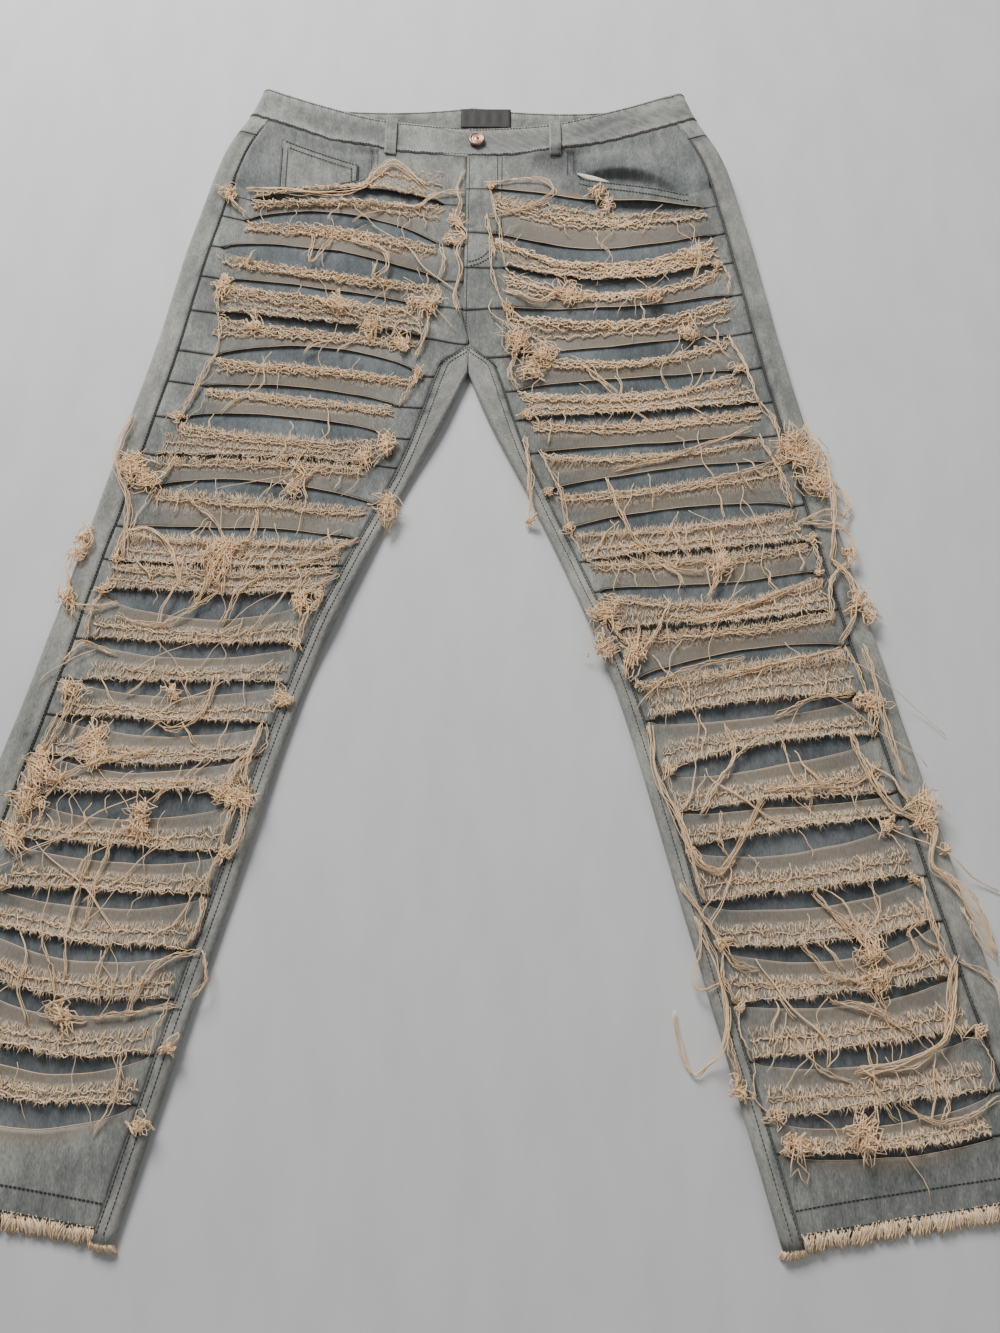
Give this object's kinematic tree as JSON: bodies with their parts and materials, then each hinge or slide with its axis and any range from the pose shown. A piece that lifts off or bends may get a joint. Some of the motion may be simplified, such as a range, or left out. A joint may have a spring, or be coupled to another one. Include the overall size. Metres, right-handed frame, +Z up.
{
  "type": "ripped jeans",
  "caption": "Straight-leg ripped jeans laid flat on their back, legs apart, with slashed and frayed fronts over a plain backing, raw fringed hems and a buttoned waistband.",
  "frame": {"origin": "under the middle of the laid garment's box, on the surface that it lies on", "axes": "+Y from the hems to the waist, +Z up from the surface, +X to the right seen from above with the hems nearest"},
  "size_m": [0.9184, 1.1038, 0.022],
  "materials": {
    "denim": "worn grey-green denim",
    "backing_denim": "smooth blue-grey denim",
    "frayed_yarn": "loose cream and ecru cotton yarn",
    "pocket_cloth": "plain off-white pocket cotton",
    "label_cloth": "plain dark woven label",
    "button_metal": "worn copper-coloured metal"
  },
  "bodies": {
    "root": {"back_left": "denim", "back_yoke_left": "denim", "back_pocket_left": "denim", "front_left": "denim", "front_backing_left": "backing_denim", "pocket_facing_left": "denim", "pocket_bag_left": "pocket_cloth", "front_hem_fringe_left": "frayed_yarn", "back_hem_fringe_left": "frayed_yarn", "belt_loop_front_left": "denim", "belt_loop_back_left": "denim", "back_right": "denim", "back_yoke_right": "denim", "back_pocket_right": "denim", "front_right": "denim", "front_backing_right": "backing_denim", "pocket_facing_right": "denim", "pocket_bag_right": "pocket_cloth", "front_hem_fringe_right": "frayed_yarn", "back_hem_fringe_right": "frayed_yarn", "belt_loop_front_right": "denim", "belt_loop_back_right": "denim", "belt_loop_back_centre": "denim", "waistband": "denim", "fly_shield": "denim", "coin_pocket": "denim", "waist_label": "label_cloth", "waist_button": "button_metal"}
  },
  "joints": []
}
